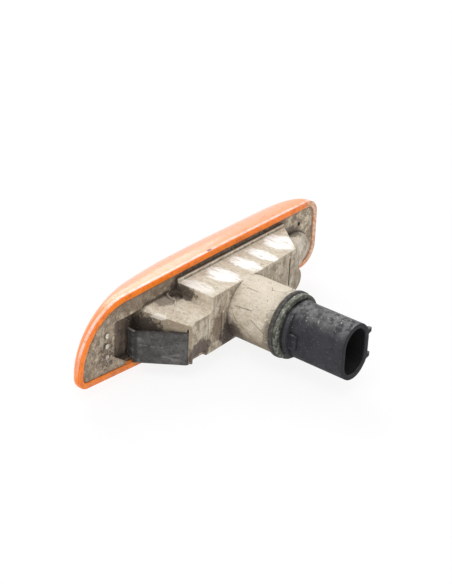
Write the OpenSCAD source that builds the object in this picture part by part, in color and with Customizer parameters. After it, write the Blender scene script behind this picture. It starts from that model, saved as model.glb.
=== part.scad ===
// Side repeater lamp: an amber lens on a moulded back that clips into a wing panel.
// The origin is where the bulb tube's axis meets the panel seat.
// +X runs along the lens, +Y points out through the lens, +Z is up, the plug end points to -Y.

/* [Lens] */
// Reach of the lens from the tube axis to its long swept end
lens_left = 66; // [60:0.5:80]
// Reach of the lens from the tube axis to its blunt end
lens_right = 60; // [58:0.5:72]
// Height of the top edge over the tube axis
lens_top = 15.3; // [15:0.1:19]
// Depth of the bottom edge under the tube axis
lens_bottom = 15.4; // [15:0.1:19]
// Height of the crowned outside over its straight rim wall
lens_crown = 14.6; // [12:0.2:18]
// Height of the straight rim wall
lens_rim = 1.6; // [1:0.1:2.4]
// Wall of the lens
lens_wall = 2.2; // [1.6:0.1:3]
// How much lower the crown is at its swept end, as a share
lens_sweep = 0.4; // [0:0.05:0.5]

/* [Backplate] */
// Thickness of the backplate
plate_t = 2; // [1.6:0.1:3]
// Set-back of the backplate behind the rim's seating face
plate_recess = 0.4; // [0.2:0.1:1]
// Gap all round between the backplate and the lens rim
plate_gap = 0.12; // [0.05:0.01:0.3]
// Ledge inside the lens that the backplate is bonded to
plate_ledge = 1; // [0.6:0.1:1.6]
// Diameter of the vent hole
vent_d = 1.5; // [1:0.1:2]

/* [Housing box] */
// Wall of the housing
wall = 2; // [1.4:0.1:2.6]
// Depth of the box behind the seat, at its left side
box_depth = 16; // [14:0.5:20]
// How much shallower the box is at its right side
box_fall = 1.4; // [0:0.1:3]
// Distance from the tube axis to the tall box's left wall
box_left = 19.3; // [15:0.1:24]
// Distance from the tube axis to the tall box's right wall at the backplate
box_right = 38.7; // [34:0.1:42]
// How far the right wall slants in towards the back
box_slant = 11; // [6:0.5:13]
// Height of the box top over the tube axis
box_top = 11.1; // [9:0.1:12]
// Depth of the box floor under the tube axis
box_bottom = 10.2; // [9:0.1:11]
// Height of the step round the foot of the box
plinth_h = 1; // [0.5:0.1:1.5]
// Radius of the rounded shoulder at the right end
shoulder_r = 9; // [7:0.5:10]

/* [Clip block] */
// Reach of the clip block's left wall at the backplate
block_left = 36.7; // [33:0.1:40]
// How far that wall slants in towards the back
block_slant = 7.1; // [4:0.1:10]
// Height of the block's top at the backplate
block_top = 8.2; // [6:0.1:9]
// How far the block's top falls towards the back
block_fall = 2.9; // [1:0.1:4]
// Width of the chamfer along the block's top left edge
block_chamfer = 1.8; // [0.5:0.1:3]
// Radius of the fillet between the block and the tall box
block_fillet = 3; // [1:0.5:4]

/* [Spring clip] */
// Thickness of the clip's strip
clip_t = 0.6; // [0.4:0.05:0.8]
// Width of the clip's strip
clip_w = 12.1; // [10:0.1:13]
// Height of the middle of the clip under the tube axis
clip_drop = 4.75; // [4:0.05:5]
// How far the blade's free end stands out from the block wall
clip_spread = 4.2; // [3:0.1:6]
// Length of the foot that dips into the backplate's pocket
clip_foot = 2.6; // [1.5:0.1:3]
// How much narrower the foot is than the blade, at its lower side
foot_short = 1.6; // [1.2:0.1:3]
// Radius that the strip is bent to
clip_bend = 1.4; // [0.6:0.1:2]
// Clearance round the clip's root in its slot
clip_gap = 0.1; // [0.05:0.01:0.3]
// How much higher the slot is than the clip in it
slot_rise = 1.5; // [0.5:0.1:2.5]
// Depth of the pocket in the backplate
pocket_depth = 3.8; // [3.5:0.1:4.5]
// Wall round the pocket
pocket_wall = 0.8; // [0.6:0.1:1.2]

/* [Bulb tube] */
// Distance from the seat to the tube's end face
tube_end = 33.2; // [30:0.2:40]
// Radius inside the locking collar at the tube's end
collar_r = 8.6; // [8.4:0.1:8.8]
// Depth of the locking collar
collar_t = 2.6; // [2:0.1:3.5]
// How much wider the tube's bore is than its collar, in radius
collar_step = 1.2; // [1:0.1:1.6]
// Wall of the tube
tube_wall = 1.5; // [1.2:0.1:2]

/* [Bulb holder] */
// Running clearance of the barrel in the collar
barrel_gap = 0.1; // [0.05:0.01:0.1]
// Length of the barrel forward of the flange
barrel_len = 9; // [8:0.1:12]
// How far the sealing flange stands out over the tube
flange_out = 0.2; // [0:0.1:0.8]
// Thickness of the sealing flange
flange_t = 1.8; // [1.4:0.1:3]
// How much wider the neck behind the flange is than the collar's hole
neck_out = 0.6; // [0.2:0.1:1]
// Length of the neck
neck_t = 0.9; // [0.6:0.1:2]
// How much wider the rear ring is than the collar's hole
ring_out = 1.3; // [1:0.1:2.4]
// Thickness of the rear ring
ring_t = 1.6; // [1.2:0.1:3]
// Width of a locking lug, as an angle
lug_angle = 36; // [30:1:42]
// Thickness of a locking lug
lug_t = 2; // [1.5:0.1:2.5]
// Turn from locked to free
twist = 60; // [50:1:70]

/* [Seal] */
// How far the rubber seal stands out over the tube
seal_out = 0.6; // [0.3:0.1:1.2]
// Thickness of the rubber seal
seal_t = 1.8; // [1.4:0.1:3]

/* [Plug shell] */
// Width of the plug shell along X
shell_w = 14.6; // [13.5:0.1:16]
// Height of the plug shell along Z
shell_h = 20.4; // [18:0.1:21]
// Length of the shell behind the rear ring
shell_len = 21.3; // [18:0.1:24]
// Wall of the shell
shell_wall = 1.7; // [1.4:0.1:2.2]
// Depth of the plug socket
socket_depth = 14; // [12:0.5:16]
// Distance between the two latch ramps
ramp_pitch = 9.3; // [8:0.1:10]
// How far a latch ramp stands out
ramp_out = 1.9; // [0.8:0.1:2.2]

/* [Contacts] */
// Thickness of the brass strip
strip_t = 0.6; // [0.4:0.1:0.8]
// Width of the brass strip
strip_w = 2.8; // [2:0.1:3.2]
// Distance between the two pins
pin_pitch = 8; // [7:0.1:9]
// How far the pin tips stop short of the socket mouth
pin_recess = 5; // [3:0.5:7]
// Clearance round a contact in the holder
strip_gap = 0.05; // [0.02:0.01:0.1]

/* [Bulb] */
// Radius of the glass envelope
bulb_r = 5.1; // [4.8:0.1:5.3]
// Overall length of the bulb
bulb_len = 26.8; // [24:0.1:28]
// Wall of the glass
bulb_wall = 0.6; // [0.4:0.1:0.8]
// Width of the pinched wedge base
wedge_w = 9.5; // [9:0.1:9.6]
// Thickness of the pinched wedge base
wedge_t = 2.1; // [2:0.1:2.4]
// Length of the pinched wedge base
wedge_len = 6.5; // [6:0.1:7]
// Radius of a lead wire
lead_r = 0.25; // [0.2:0.01:0.3]
// Distance between the lead wires
lead_pitch = 6; // [5:0.1:7]

/* [Hidden] */
// Overlap that makes two shapes of one piece join cleanly
join = 0.4;

amber = "#F58A2B";
housing_grey = "#B9AE98";
charcoal = "#3C3B3F";

// Radii round the tube's axis, all measured from the collar
tube_bore = collar_r + collar_step;
tube_r = tube_bore + tube_wall;
flange_r = tube_r + flange_out;
seal_r = tube_r + seal_out;
neck_r = collar_r + neck_out;
ring_r = collar_r + ring_out;
barrel_r = collar_r - barrel_gap;

// Faces along Y, all measured from the seat plane
plate_back = plate_recess;
plate_front = plate_back + plate_t;
flange_front = -(tube_end + seal_t + barrel_gap);
flange_back = flange_front - flange_t;
neck_back = flange_back - neck_t;
ring_back = neck_back - ring_t;
shell_end = ring_back - shell_len;
socket_floor = shell_end + socket_depth;
barrel_front = flange_front + barrel_len;
box_back_right = box_depth - box_fall;

// Radii of the lens outline's corners
swept_r = 22;
blunt_top_r = 6;
blunt_low_r = 8;
heel_r = 4.5;
belly_r = 400;
crest_r = 1200;
// Slopes of the outline's edges: rise of the top edge at its crest, drop of the bottom edge at
// its belly, lean of the two ends, and how much higher the bottom corners sit than the belly
crest_rise = 0.6;
belly_drop = 0.3;
end_lean = 0.3;
swept_heel = 4;
blunt_heel = 5;
crest_shift = 7;
belly_shift = 3;
// Middle of the lens, where its crown is highest
crown_x = (lens_right - lens_left) / 2;
crown_z = 0.5;

function unit(v) = v / norm(v);
function turned(v, a) = [v[0] * cos(a) - v[1] * sin(a), v[0] * sin(a) + v[1] * cos(a)];
function wrap(list, i) = list[(i + len(list)) % len(list)];

// Arc that rounds corner b between a and c, moved inwards by inset
function corner_arc(a, b, c, r, steps, inset) =
    let (u = unit(a - b))
    let (w = unit(c - b))
    let (half = acos(u * w) / 2)
    let (centre = b + unit(u + w) * r / sin(half))
    let (start = unit(b + u * r / tan(half) - centre) * (r - inset))
    let (side = -sign(cross(u, w)))
    [for (i = [0:steps]) centre + turned(start, side * (180 - 2 * half) * i / steps)];

// Corners of the lens outline, counter-clockwise, each with its radius and its number of steps
lens_corners = [
    [[lens_right, lens_top], blunt_top_r, 7],
    [[crown_x + crest_shift, lens_top + crest_rise], crest_r, 3],
    [[-lens_left, lens_top], swept_r, 14],
    [[-lens_left - end_lean, swept_heel - lens_bottom], heel_r, 7],
    [[crown_x - belly_shift, -lens_bottom - belly_drop], belly_r, 6],
    [[lens_right + end_lean, blunt_heel - lens_bottom], blunt_low_r, 8]
];

// The lens outline moved inwards by inset
function lens_outline(inset) = [
    for (i = [0:len(lens_corners) - 1])
    for (p = corner_arc(wrap(lens_corners, i - 1)[0], lens_corners[i][0],
                        wrap(lens_corners, i + 1)[0], lens_corners[i][1], lens_corners[i][2], inset))
    p
];

// Turns a shape drawn in the XZ plane and raised towards +Z so that it rises towards -Y
module towards_back() {
    rotate([90, 0, 0]) children();
}

// A prism of an XZ outline between two places along Y, with y_from the larger
module slab(y_from, y_to, points) {
    translate([0, y_from, 0]) towards_back() linear_extrude(y_from - y_to) polygon(points);
}

// A round bar along Y between two places, with y_from the larger
module bar(y_from, y_to, r, sides = 96) {
    translate([0, y_from, 0]) towards_back() cylinder(h = y_from - y_to, r = r, $fn = sides);
}

// Squareness of the crown across its height, along its length and in its rise, 1 for a circle
crown_across = 0.7;
crown_along = 1.05;
crown_rise = 0.9;

// Where the crown starts to lower towards the swept end
sweep_start = crown_x - 8;

// Share of the full crown height at a place along X, lower towards the swept end
function swept(x) =
    let (t = min(1, max(0, (sweep_start - x) / (lens_left + sweep_start))))
    1 - lens_sweep * t * t * (3 - 2 * t);

// A crowned solid over an outline: rings shrink to the crown point as they rise.
// A ring at angle a keeps cos(a) of the outline and rises by sin(a) of the crown,
// each raised to its squareness.
module crowned(outline, y_base, rim, crown, rings = 14) {
    n = len(outline);
    ring_at = function (a) [
        for (p = outline)
        let (x = crown_x + (p[0] - crown_x) * pow(cos(a), crown_along))
        let (z = crown_z + (p[1] - crown_z) * pow(cos(a), crown_across))
        [x, y_base + rim + crown * swept(x) * pow(sin(a), crown_rise), z]
    ];
    points = concat([for (p = outline) [p[0], y_base, p[1]]],
                    [for (j = [0:rings - 1]) for (p = ring_at(90 * j / rings)) p],
                    [[crown_x, y_base + rim + crown, crown_z]]);
    top = len(points) - 1;
    sides = [for (j = [0:rings - 1]) for (i = [0:n - 1])
             for (f = [[j * n + i, j * n + (i + 1) % n, (j + 1) * n + i],
                       [j * n + (i + 1) % n, (j + 1) * n + (i + 1) % n, (j + 1) * n + i]]) f];
    cap = [for (i = [0:n - 1]) [rings * n + i, rings * n + (i + 1) % n, top]];
    polyhedron(points, concat([[for (i = [n - 1:-1:0]) i]], sides, cap), convexity = 4);
}

// Height of the hollow's straight edge over the backplate, and the gap round the pocket's shell
inner_rim = 0.6;
ledge_gap = 0.2;

// Amber shell with a straight rim wall, a seat for the backplate and a hollow crown
module lens() {
    color(amber) difference() {
        crowned(lens_outline(0), 0, lens_rim, lens_crown);
        crowned(lens_outline(lens_wall + plate_ledge), plate_front, inner_rim,
                lens_crown + lens_rim - plate_front - inner_rim - lens_wall);
        slab(plate_front, -1, lens_outline(lens_wall));
        // Notch in the inner ledge for the shell of the clip's pocket
        slab(plate_back + pocket_depth + pocket_wall + ledge_gap, plate_back,
             grown(pocket_points, pocket_wall + ledge_gap));
    }
}

// Plan of the tall box from above, reaching forward to y_front
function box_plan(inset, y_front) = [
    [-box_left + inset, y_front],
    [-box_left + inset, -box_depth + inset],
    [box_right - box_slant - inset, -box_back_right + inset],
    [box_right - inset, -plinth_h],
    [box_right - inset, y_front]
];

// Plan of the clip block beside the box
block_plan = [
    [-block_left, plate_back],
    [-block_left + block_slant, -box_depth],
    [-box_left + join, -box_depth],
    [-box_left + join, plate_back]
];

// A prism that rises along Z from a plan drawn in X and Y
module column(z_low, z_high, plan) {
    translate([0, 0, z_low]) linear_extrude(z_high - z_low) polygon(plan);
}

// Outline of the block's end in Y and Z, with its top falling to the back
block_end = [
    [plate_back, block_top],
    [-box_depth, block_top - block_fall],
    [-box_depth, -box_bottom],
    [plate_back, -box_bottom]
];

// A prism along X of an outline in Y and Z
module beam(x_low, x_high, outline) {
    translate([x_low, 0, 0]) rotate([90, 0, 90]) linear_extrude(x_high - x_low) polygon(outline);
}

// Directions square to the block's left wall, to its top, and halfway between them
wall_normal = unit([-box_depth - plate_back, -block_slant, 0]);
top_normal = unit([0, -block_fall, box_depth + plate_back]);
chamfer_normal = unit(wall_normal + top_normal);

module clip_block() {
    difference() {
        intersection() {
            column(-box_bottom, block_top, block_plan);
            beam(-block_left - 1, -box_left + join, block_end);
        }
        // Chamfer along the top left edge
        translate([-block_left, plate_back, block_top] - chamfer_normal * block_chamfer / 2)
            rotate([0, acos(chamfer_normal[2]), atan2(chamfer_normal[1], chamfer_normal[0])])
                translate([-box_depth, -2 * box_depth, 0]) cube([2 * box_depth, 4 * box_depth, box_depth]);
    }
}

// Rounded shoulder at the right end of the box: its centre and its flat underside
shoulder_x = box_right + 6.8;
shoulder_z = -3.2;
shoulder_floor = -4.5;
// The slice of the box that it blends into: its width along X and how far it stops short
shoulder_root = 3;
shoulder_short = 2;
module shoulder() {
    intersection() {
        hull() {
            translate([shoulder_x, plate_back, shoulder_z]) towards_back()
                cylinder(h = plate_back + plinth_h, r = shoulder_r, $fn = 32);
            translate([box_right - box_slant - shoulder_root, shoulder_short - box_back_right,
                       shoulder_floor])
                cube([shoulder_root, 1, box_top - shoulder_floor - shoulder_root]);
        }
        translate([0, -box_depth, shoulder_floor])
            cube([shoulder_x + shoulder_r, box_depth + plate_back, box_top - shoulder_floor]);
    }
}

clip_low = -clip_drop - clip_w / 2;
clip_high = -clip_drop + clip_w / 2;

// Pocket in the backplate that the clip's foot swings in, with its low outer corner cut off
pocket_length = 12.6;
pocket_slope = 7;
pocket_low = clip_low + foot_short - 0.4;
pocket_high = 7.4;
pocket_points = [
    [-block_left - pocket_length, pocket_low + 4],
    [-block_left + 0.2 - pocket_slope, pocket_low],
    [-block_left + 0.2, pocket_low],
    [-block_left + 0.2, pocket_high],
    [-block_left - pocket_length, pocket_high]
];
function grown(points, by) =
    [for (p = points) p + [sign(p[0] + block_left + pocket_length / 2), sign(p[1])] * by];

// Where the clip's blade leaves its slot, how far its tab reaches in, where its foot begins,
// and how much the foot leans
root_edge = 1.4;
clip_root = [-block_left + block_slant - 0.6, -box_depth + root_edge];
clip_tab = 2.6;
clip_knee = [-block_left - clip_spread, -0.2];
foot_lean = 0.4;
// How far the clip rocks about its root when its blade is pressed in, as an angle
clip_flex = 7;

// A path with its inner corners bent to a radius
function bent(path, r, steps = 6) = concat(
    [path[0]],
    [for (i = [1:len(path) - 2]) for (p = corner_arc(path[i - 1], path[i], path[i + 1], r, steps, 0)) p],
    [path[len(path) - 1]]
);

// Direction across the path between point i and the next
function across(path, i) = turned(unit(path[i + 1] - path[i]), 90);

// The path moved sideways by d, with its corners mitred
function beside(path, d) = [
    for (i = [0:len(path) - 1])
    let (before = across(path, max(i - 1, 0)))
    let (after = across(path, min(i, len(path) - 2)))
    path[i] + d * (before + after) / (1 + before * after)
];

// A strip of even thickness along a path in X and Y
module strip(path, t, z_low, z_high) {
    right_side = beside(path, -t / 2);
    left_side = beside(path, t / 2);
    column(z_low, z_high, concat(right_side, [for (i = [len(path) - 1:-1:0]) left_side[i]]));
}

// Path of the clip's strip seen from above: root tab, blade, foot
clip_path = bent([
    clip_root + [clip_tab, 0],
    clip_root,
    clip_knee,
    clip_knee + [foot_lean, clip_foot]
], clip_bend);

module spring_clip() {
    color(charcoal) difference() {
        strip(clip_path, clip_t, clip_low, clip_high);
        // The foot's low corner
        translate([clip_knee[0] - 2, clip_knee[1], clip_low - 1])
            cube([4, clip_foot + 1, 1 + foot_short]);
    }
}

// Relief in the backplate under the pocket, for the blade's low corner when it is pressed in
relief_depth = 1.1;
module clip_relief() {
    translate([-block_left + 0.2 - pocket_slope, -1, -lens_bottom])
        cube([pocket_slope, plate_back + relief_depth + 1, lens_bottom + pocket_low + 1]);
}

// Room that the clip's root sweeps from rest to pressed in
module clip_slot() {
    blade = unit(clip_knee - clip_root);
    path = bent([clip_root + [clip_tab + clip_gap, 0], clip_root, clip_root + 4 * blade], clip_bend);
    for (a = [0:clip_flex / 2:clip_flex])
        translate(clip_root) rotate(-a) translate(-clip_root)
            strip(path, clip_t + 2 * clip_gap, clip_low - clip_gap, clip_high + slot_rise);
}

// Slots in the collar that let the lugs in, and the lugs themselves, are the same sector
module sector(r_in, r_out, y_from, y_to, width, at) {
    translate([0, y_from, 0]) towards_back() rotate([0, 0, at - width / 2])
        rotate_extrude(angle = width, $fn = 96)
            translate([r_in, 0]) square([r_out - r_in, y_from - y_to]);
}

// Clearance of a lug behind the collar, and short of the bore
lug_clear = 0.15;
lug_short = 0.25;
lug_back = -tube_end + collar_t + lug_clear;
lug_front = lug_back + lug_t;
lug_reach = tube_bore - lug_short;
// Angle by which a slot is wider than a lug, and the free turn left at the stops
lug_slack = 4;
lug_play = 2;

module tube_bore_cut() {
    bar(-box_back_right + wall + 6, -tube_end + collar_t, tube_bore);
    bar(-tube_end + collar_t + 1, -tube_end - 1, collar_r);
    for (at = [0, 180])
        sector(collar_r - 1, lug_reach + lug_clear, -tube_end + collar_t + 0.5, -tube_end - 1,
               lug_angle + lug_slack, at + twist);
}

// Stops in the bore that the lugs turn between
module lug_stops() {
    for (at = [0, 180])
        sector(collar_r + lug_clear, tube_bore + join, lug_front, -tube_end + collar_t - join,
               180 - twist - lug_angle - lug_play, at + (180 + twist) / 2);
}

// Rounded hook that stands out of the right wall near the floor: its radius, place and thickness
hook_r = 5.2;
hook_x = box_right - 6.4;
hook_y = -7;
hook_t = 3.6;
module hook() {
    translate([hook_x, hook_y, -box_bottom + hook_r]) towards_back()
        cylinder(h = hook_t, r = hook_r, $fn = 64);
}

// Narrow groove in the back wall near its right corner
groove_x = box_right - box_slant - 3.3;
groove_size = [0.6, 0.6, 10.6];
// Notch under the block
notch_x = -28.9;
notch_size = [7, 1.6, 2.4];
// Round recess in the block's top beside the backplate, with a curled ridge round its left side
scoop_place = [-22.4, -2.3];
scoop_r = 2.5;
scoop_depth = 2;
ridge_t = 0.7;
ridge_rise = 0.6;
ridge_end = [-26.6, -5.8];
// Ribs on the back wall
rib_places = [-21.3, -14.3];
rib_w = 0.9;
rib_proud = 0.5;
rib_foot = 3;

// Small moulded hollows in the back wall and the block
module wall_marks() {
    translate([groove_x, -box_back_right - groove_size[1], -2.3])
        cube([groove_size[0], 2 * groove_size[1], groove_size[2]]);
    translate([notch_x, -box_depth - notch_size[1], -box_bottom - notch_size[2]])
        cube([notch_size[0], 2 * notch_size[1], 2 * notch_size[2]]);
    translate([scoop_place[0], scoop_place[1], block_top - scoop_depth])
        cylinder(h = 2 * scoop_depth, r = scoop_r, $fn = 64);
}

// Curled ridge on the block's top
module scoop_ridge() {
    curl = [for (a = [100:15:220]) scoop_place + (scoop_r + ridge_t / 2) * [cos(a), sin(a)]];
    intersection() {
        strip(concat(curl, [ridge_end]), ridge_t, block_top - block_fall, block_top + ridge_rise);
        translate([0, 0, ridge_rise]) beam(-block_left, -box_left, block_end);
    }
}

// Raised moulding marks in a column on the backplate: place along X, heights, radius and rise
mark_x = -53;
mark_heights = [4.1, 0.2, -3.9];
mark_r = 0.9;
mark_rise = 0.35;

module housing_outside() {
    // Backplate, bonded inside the lens rim
    slab(plate_front, plate_back, lens_outline(lens_wall + plate_gap));
    for (z = mark_heights)
        translate([mark_x, 0, z]) bar(plate_back + join, plate_back - mark_rise, mark_r, 32);
    clip_block();
    shoulder();
    // Tall box and hook, kept inside the lens rim
    intersection() {
        union() {
            column(-box_bottom, box_top, box_plan(0, plate_back));
            hook();
            // Step round the foot of the box
            translate([-box_left, -plinth_h, -box_bottom])
                cube([box_left + box_right, plate_back + plinth_h, box_bottom + box_top + plinth_h]);
        }
        slab(plate_back, -box_depth - 1, lens_outline(lens_wall + plate_gap));
    }
    // Concave fillet between the block's top and the tall box
    translate([-box_left, plate_back, 0]) towards_back() linear_extrude(box_depth + plate_back)
        translate([0, block_top - block_fall - join]) difference() {
            translate([-block_fillet, 0]) square([block_fillet + join, block_fillet]);
            translate([-block_fillet, block_fillet]) circle(r = block_fillet, $fn = 64);
        }
    scoop_ridge();
    for (x = rib_places)
        translate([x, -box_depth - rib_proud, -box_bottom + rib_foot])
            cube([rib_w, 2 * rib_proud, box_bottom + 1]);
    bar(-box_back_right + wall, -tube_end, tube_r);
    // Shell round the clip's pocket, inside the lens
    slab(plate_back + pocket_depth + pocket_wall, plate_back, grown(pocket_points, pocket_wall));
}

// Place of the vent hole, and the solid corner left round the clip's slot
vent_place = [49.4, 8];
slot_corner = [4.8, 3.2];

module housing() {
    color(housing_grey) union() {
        difference() {
            housing_outside();
            // The hollow that the bulb shines from
            column(-box_bottom + wall, box_top - wall, box_plan(wall, plate_front + 1));
            tube_bore_cut();
            slab(plate_back + pocket_depth, plate_back - 1, pocket_points);
            clip_relief();
            wall_marks();
            // Vent hole through the backplate
            translate([vent_place[0], plate_front + 1, vent_place[1]]) towards_back()
                cylinder(h = plate_t + 2, r = vent_d / 2, $fn = 32);
            clip_slot();
            // Hollow of the clip block, with the corner left solid round the slot
            column(-box_bottom + wall, block_top - block_fall - wall, [
                [-block_left + wall + pocket_wall, plate_front + 1],
                [-block_left + block_slant + slot_corner[0], -box_depth + wall + slot_corner[1]],
                [-block_left + block_slant + slot_corner[0], -box_depth + wall],
                [-box_left + wall + join, -box_depth + wall],
                [-box_left + wall + join, plate_front + 1]
            ]);
        }
        lug_stops();
    }
}

// Clearance of the seal round the barrel
seal_gap = 0.05;

module holder_seal() {
    color("#4A4C47") difference() {
        bar(flange_front + seal_t, flange_front, seal_r);
        bar(flange_front + seal_t + 1, flange_front - 1, barrel_r + seal_gap);
    }
}

// Rounded oblong of the plug shell
function oblong(w, h, steps = 20) = concat(
    [for (i = [0:steps]) [cos(180 * i / steps) * w / 2, (h - w) / 2 + sin(180 * i / steps) * w / 2]],
    [for (i = [0:steps]) [-cos(180 * i / steps) * w / 2, (w - h) / 2 - sin(180 * i / steps) * w / 2]]
);

// Finger rib: how far it stands out, its length and its height, how far its middle sits under
// the axis, and the lip left round its recess
rib_out = 0.9;
rib_len = 3;
rib_h = 5.4;
rib_drop = 1;
rib_lip = 0.7;
// Latch ramp: its width, its run up to the tip, the tip's land and its whole length
ramp_w = 1.6;
ramp_run = 0.4;
ramp_land = 0.8;
ramp_len = 4.4;

// Wedge-shaped latch ramp on the right of the shell's mouth
module latch_ramp(z) {
    tip = join + ramp_out;
    translate([shell_w / 2 - join, shell_end, z - ramp_w / 2]) linear_extrude(ramp_w)
        polygon([[0, 0], [tip, ramp_run], [tip, ramp_run + ramp_land], [0, ramp_len]]);
}

wedge_front = barrel_front + 0.3;
wedge_back = wedge_front - wedge_len;
wedge_gap = 0.1;
// Room between the folded lead and the wedge, and between the lead and the contact leaf
lead_gap = 0.04;
leaf_z = wedge_t / 2 + lead_r * 2 + 2 * lead_gap;
// How much the leaf's ends are opened, and how far its bends lie from the wedge's ends
leaf_open = 0.5;
leaf_grip = 2.4;
leaf_heel = 0.8;
// Width of the leaf, wide enough to lie over a folded lead on either side
leaf_w = 7.4;

// Path of a contact seen from the side, in Y and Z: bulb leaf, step, pin
contact_path = [
    [barrel_front - 0.2, leaf_z + strip_t / 2 + leaf_open],
    [wedge_front - leaf_grip, leaf_z + strip_t / 2],
    [wedge_back - leaf_heel, leaf_z + strip_t / 2 + leaf_open],
    [flange_front - 1, pin_pitch / 2],
    [shell_end + pin_recess, pin_pitch / 2]
];

module contact_strip(t, w) {
    rotate([90, 0, 90]) strip(bent(contact_path, 1), t, -w / 2, w / 2);
}

module contact() {
    leaf = [for (i = [0:2]) contact_path[i]];
    contact_strip(strip_t, strip_w);
    rotate([90, 0, 90]) strip(bent(leaf, 1), strip_t, -leaf_w / 2, leaf_w / 2);
}

module contact_upper() {
    color("#C9A24A") contact();
}

module contact_lower() {
    color("#C9A24A") mirror([0, 0, 1]) contact();
}

// Room behind the wedge for the folded leads, and beyond the leaves for them to spread
wedge_room = 1.5;
leaf_room = 0.7;

module bulb_holder() {
    color(charcoal) difference() {
        union() {
            bar(barrel_front, flange_front - join, barrel_r);
            bar(flange_front, flange_back, flange_r);
            bar(flange_back + join, neck_back - join, neck_r);
            bar(neck_back, ring_back, ring_r);
            slab(ring_back + join, shell_end, oblong(shell_w, shell_h));
            for (at = [0, 180])
                sector(barrel_r - 1, lug_reach, lug_front, lug_back, lug_angle, at);
            for (z = [-ramp_pitch / 2, ramp_pitch / 2]) latch_ramp(z);
            // Finger rib on the left of the shell
            translate([-shell_w / 2 - rib_out, ring_back - rib_len, -rib_h / 2 - rib_drop])
                cube([rib_out + 2, rib_len + join, rib_h]);
        }
        // Plug socket
        slab(socket_floor, shell_end - 1, oblong(shell_w - 2 * shell_wall, shell_h - 2 * shell_wall));
        // Pocket for the bulb's wedge base and the contact leaves
        translate([-wedge_w / 2 - wedge_gap, wedge_back - wedge_room, -leaf_z - strip_t - leaf_room])
            cube([wedge_w + 2 * wedge_gap, wedge_len + 10, 2 * (leaf_z + strip_t + leaf_room)]);
        // Passages for the contacts
        contact_strip(strip_t + 2 * strip_gap, strip_w + 2 * strip_gap);
        mirror([0, 0, 1]) contact_strip(strip_t + 2 * strip_gap, strip_w + 2 * strip_gap);
        // Recess in the finger rib
        translate([-shell_w / 2 - rib_out - 1, ring_back - rib_len + rib_lip,
                   -rib_h / 2 - rib_drop + rib_lip])
            cube([1.4, rib_len - 2 * rib_lip, rib_h - 2 * rib_lip]);
    }
}

// Outline of the bulb's round glass, radius against distance from the wedge, moved inwards by wall
function glass_outline(r, low, high) = concat(
    [[0, low], [r, low]],
    [for (i = [0:16]) [r * cos(90 * i / 16), high - r + r * sin(90 * i / 16)]]
);

module along_y(y) {
    translate([0, y, 0]) rotate([-90, 0, 0]) children();
}

// Thickness of the glass over the wedge, and the clearance of a lead in it
pinch_t = 1.6;
glass_gap = 0.02;

module bulb_glass() {
    color("#DCE6E8") difference() {
        union() {
            translate([-wedge_w / 2, wedge_back, -wedge_t / 2])
                cube([wedge_w, wedge_len + join, wedge_t]);
            along_y(wedge_front) rotate_extrude($fn = 64)
                polygon(glass_outline(bulb_r, 0, bulb_len - wedge_len));
        }
        along_y(wedge_front + pinch_t) rotate_extrude($fn = 64)
            polygon(glass_outline(bulb_r - bulb_wall, 0, bulb_len - wedge_len - pinch_t - bulb_wall));
        for (side = [-1, 1]) translate([side * lead_pitch / 2, 0, 0])
            bar(wedge_front + 2 * pinch_t, wedge_back - 1, lead_r + glass_gap, 24);
    }
}

// Where the leads end beside the filament, their fold behind the wedge, and the folded length
filament_y = wedge_front + 9.5;
bend_r = (wedge_t / 2 + lead_r + lead_gap) / 2;
fold_y = wedge_back - 0.3;
fold_len = 3.7;

// Lead wire: up through the pinch to the filament, and folded back on the wedge's flat
module lead_wire(side) {
    translate([side * lead_pitch / 2, 0, 0]) {
        bar(filament_y, fold_y, lead_r, 24);
        translate([0, fold_y, side * bend_r]) rotate([0, 90, 0]) rotate([0, 0, 180])
            rotate_extrude(angle = 180, $fn = 48)
                translate([bend_r, 0]) circle(r = lead_r, $fn = 24);
        translate([0, 0, side * 2 * bend_r]) bar(fold_y + fold_len, fold_y, lead_r, 24);
    }
}

module lead_wire_left() {
    color("#B8B8B4") lead_wire(-1);
}

module lead_wire_right() {
    color("#B8B8B4") lead_wire(1);
}

// Filament: a helix along X between the two leads, a ring of wire_sides points at each step
wire_r = 0.07;
coil_r = 0.3;
coil_turns = 10;
turn_steps = 10;
wire_sides = 5;
coil_half = lead_pitch / 2 - lead_r - wire_r - lead_gap;
function coil_place(a) = [coil_half * (2 * a / (360 * coil_turns) - 1),
                          filament_y - coil_r - lead_gap + coil_r * cos(a), coil_r * sin(a)];

module filament() {
    steps = coil_turns * turn_steps;
    points = [for (i = [0:steps]) let (a = 360 * i / turn_steps) for (k = [0:wire_sides - 1])
              let (b = 360 * k / wire_sides)
              coil_place(a) + wire_r * [sin(b), cos(b) * cos(a), cos(b) * sin(a)]];
    sides = [for (i = [0:steps - 1]) for (k = [0:wire_sides - 1])
             let (m = (k + 1) % wire_sides)
             [i * wire_sides + k, i * wire_sides + m, (i + 1) * wire_sides + m, (i + 1) * wire_sides + k]];
    ends = [[for (k = [wire_sides - 1:-1:0]) k], [for (k = [0:wire_sides - 1]) steps * wire_sides + k]];
    color("#8E8A84") polyhedron(points, concat(sides, ends), convexity = 12);
}

lens();
housing();
spring_clip();
holder_seal();
bulb_holder();
contact_upper();
contact_lower();
bulb_glass();
filament();
lead_wire_left();
lead_wire_right();
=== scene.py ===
"""Looks for the side repeater lamp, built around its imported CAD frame.

The lens and the rubber seal are new surfaces. The two mouldings and the clip are copies of their CAD
shapes with rounded edges, and the bulb, its leads and the contacts keep their CAD shapes. Sizes are in
millimetres, turned to metres where a mesh or a material is made, and the stage's lamps are in metres.
"""

import logging
import math
from dataclasses import dataclass
from enum import Enum
from typing import Any, Callable

import bmesh
import bpy
import numpy as np
from bpy.types import ID, Material, Mesh, NodeSocket, NodeTree, Object
from mathutils import Matrix, Vector


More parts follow.
